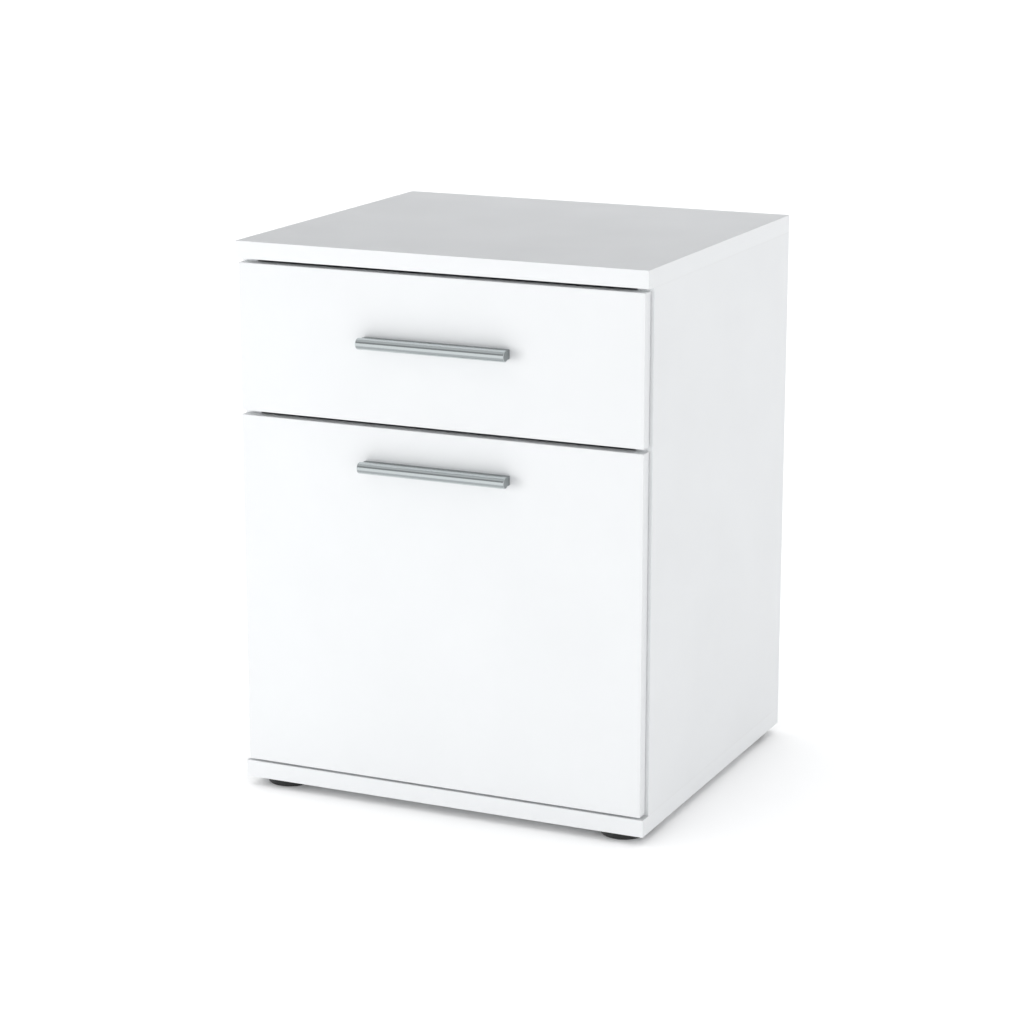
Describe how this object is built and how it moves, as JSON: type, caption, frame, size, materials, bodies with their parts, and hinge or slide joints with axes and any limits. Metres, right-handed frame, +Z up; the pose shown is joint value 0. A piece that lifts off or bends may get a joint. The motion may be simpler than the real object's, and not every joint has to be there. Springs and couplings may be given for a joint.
{
  "type": "drawer pedestal cabinet",
  "caption": "Free-standing white board pedestal with a shallow drawer above a deep drawer, bar handles, roller slides and low round feet.",
  "frame": {"origin": "on the floor, at the centre of the footprint with the handles included", "axes": "+Z up, the drawers open towards -Y, +X to the cabinet's right as seen from the front"},
  "size_m": [0.4, 0.3725, 0.5155],
  "materials": {
    "white_melamine": "satin",
    "white_edge_band": "satin",
    "raw_chipboard": "matte",
    "white_fibreboard": "matte",
    "satin_aluminium": "satin",
    "black_plastic": "matte",
    "white_enamel_steel": "satin",
    "roller_nylon": "satin",
    "zinc_plated_steel": "satin",
    "cast_zinc": "matte",
    "beech": "matte",
    "clear_rubber": "satin"
  },
  "bodies": {
    "cabinet": {"top_panel": "white_melamine", "bottom_panel": "white_melamine", "left_side_panel": "white_melamine", "right_side_panel": "white_melamine", "back_panel": "white_fibreboard", "back_panel_nails": "zinc_plated_steel", "top_cam_locks": "cast_zinc", "top_cam_bolts": "zinc_plated_steel", "carcass_dowels": "beech", "bottom_confirmat_screws": "zinc_plated_steel", "front_left_foot": "black_plastic", "front_right_foot": "black_plastic", "rear_left_foot": "black_plastic", "rear_right_foot": "black_plastic", "foot_screws": "zinc_plated_steel", "cabinet_rail_screws": "zinc_plated_steel", "front_roller_pins": "zinc_plated_steel", "upper_left_cabinet_rail": "white_enamel_steel", "upper_right_cabinet_rail": "white_enamel_steel", "lower_left_cabinet_rail": "white_enamel_steel", "lower_right_cabinet_rail": "white_enamel_steel"},
    "upper_drawer": {"upper_drawer_front": "white_melamine", "upper_handle": "satin_aluminium", "upper_handle_screws": "zinc_plated_steel", "upper_drawer_left_side": "white_melamine", "upper_drawer_right_side": "white_melamine", "upper_drawer_back": "white_melamine", "upper_drawer_bottom": "white_fibreboard", "upper_drawer_cam_locks": "cast_zinc", "upper_drawer_cam_bolts": "zinc_plated_steel", "upper_drawer_corner_screws": "zinc_plated_steel", "upper_drawer_bumpers": "clear_rubber", "upper_drawer_rail_screws": "zinc_plated_steel", "upper_rear_roller_pins": "zinc_plated_steel", "upper_left_drawer_rail": "white_enamel_steel", "upper_right_drawer_rail": "white_enamel_steel"},
    "upper_left_front_roller": {"upper_left_front_roller": "roller_nylon"},
    "upper_left_rear_roller": {"upper_left_rear_roller": "roller_nylon"},
    "upper_right_front_roller": {"upper_right_front_roller": "roller_nylon"},
    "upper_right_rear_roller": {"upper_right_rear_roller": "roller_nylon"},
    "lower_drawer": {"lower_drawer_front": "white_melamine", "lower_handle": "satin_aluminium", "lower_handle_screws": "zinc_plated_steel", "lower_drawer_left_side": "white_melamine", "lower_drawer_right_side": "white_melamine", "lower_drawer_back": "white_melamine", "lower_drawer_bottom": "white_fibreboard", "lower_drawer_cam_locks": "cast_zinc", "lower_drawer_cam_bolts": "zinc_plated_steel", "lower_drawer_corner_screws": "zinc_plated_steel", "lower_drawer_bumpers": "clear_rubber", "lower_drawer_rail_screws": "zinc_plated_steel", "lower_rear_roller_pins": "zinc_plated_steel", "lower_left_drawer_rail": "white_enamel_steel", "lower_right_drawer_rail": "white_enamel_steel"},
    "lower_left_front_roller": {"lower_left_front_roller": "roller_nylon"},
    "lower_left_rear_roller": {"lower_left_rear_roller": "roller_nylon"},
    "lower_right_front_roller": {"lower_right_front_roller": "roller_nylon"},
    "lower_right_rear_roller": {"lower_right_rear_roller": "roller_nylon"}
  },
  "joints": [
    {"name": "upper_drawer_slide", "type": "slide", "parent": "cabinet", "child": "upper_drawer", "axis": [0, -1, 0], "range_m": [0, 0.225]},
    {"name": "upper_left_front_roller_spin", "type": "hinge", "parent": "cabinet", "child": "upper_left_front_roller", "pos_m": [-0.1785, -0.14305, 0.3793], "axis": [1, 0, 0], "continuous": true},
    {"name": "upper_left_rear_roller_spin", "type": "hinge", "parent": "upper_drawer", "child": "upper_left_rear_roller", "pos_m": [-0.1779, 0.12975, 0.3793], "axis": [1, 0, 0], "continuous": true},
    {"name": "upper_right_front_roller_spin", "type": "hinge", "parent": "cabinet", "child": "upper_right_front_roller", "pos_m": [0.1785, -0.14305, 0.3793], "axis": [1, 0, 0], "continuous": true},
    {"name": "upper_right_rear_roller_spin", "type": "hinge", "parent": "upper_drawer", "child": "upper_right_rear_roller", "pos_m": [0.1779, 0.12975, 0.3793], "axis": [1, 0, 0], "continuous": true},
    {"name": "lower_drawer_slide", "type": "slide", "parent": "cabinet", "child": "lower_drawer", "axis": [0, -1, 0], "range_m": [0, 0.225]},
    {"name": "lower_left_front_roller_spin", "type": "hinge", "parent": "cabinet", "child": "lower_left_front_roller", "pos_m": [-0.1785, -0.14305, 0.0473], "axis": [1, 0, 0], "continuous": true},
    {"name": "lower_left_rear_roller_spin", "type": "hinge", "parent": "lower_drawer", "child": "lower_left_rear_roller", "pos_m": [-0.1779, 0.12975, 0.0473], "axis": [1, 0, 0], "continuous": true},
    {"name": "lower_right_front_roller_spin", "type": "hinge", "parent": "cabinet", "child": "lower_right_front_roller", "pos_m": [0.1785, -0.14305, 0.0473], "axis": [1, 0, 0], "continuous": true},
    {"name": "lower_right_rear_roller_spin", "type": "hinge", "parent": "lower_drawer", "child": "lower_right_rear_roller", "pos_m": [0.1779, 0.12975, 0.0473], "axis": [1, 0, 0], "continuous": true}
  ],
  "couplings": [
    {"joint": "upper_left_front_roller_spin", "follows": "upper_drawer_slide", "rad_per_m": 100},
    {"joint": "upper_left_rear_roller_spin", "follows": "upper_drawer_slide", "rad_per_m": 100},
    {"joint": "upper_right_front_roller_spin", "follows": "upper_drawer_slide", "rad_per_m": 100},
    {"joint": "upper_right_rear_roller_spin", "follows": "upper_drawer_slide", "rad_per_m": 100},
    {"joint": "lower_left_front_roller_spin", "follows": "lower_drawer_slide", "rad_per_m": 100},
    {"joint": "lower_left_rear_roller_spin", "follows": "lower_drawer_slide", "rad_per_m": 100},
    {"joint": "lower_right_front_roller_spin", "follows": "lower_drawer_slide", "rad_per_m": 100},
    {"joint": "lower_right_rear_roller_spin", "follows": "lower_drawer_slide", "rad_per_m": 100}
  ]
}
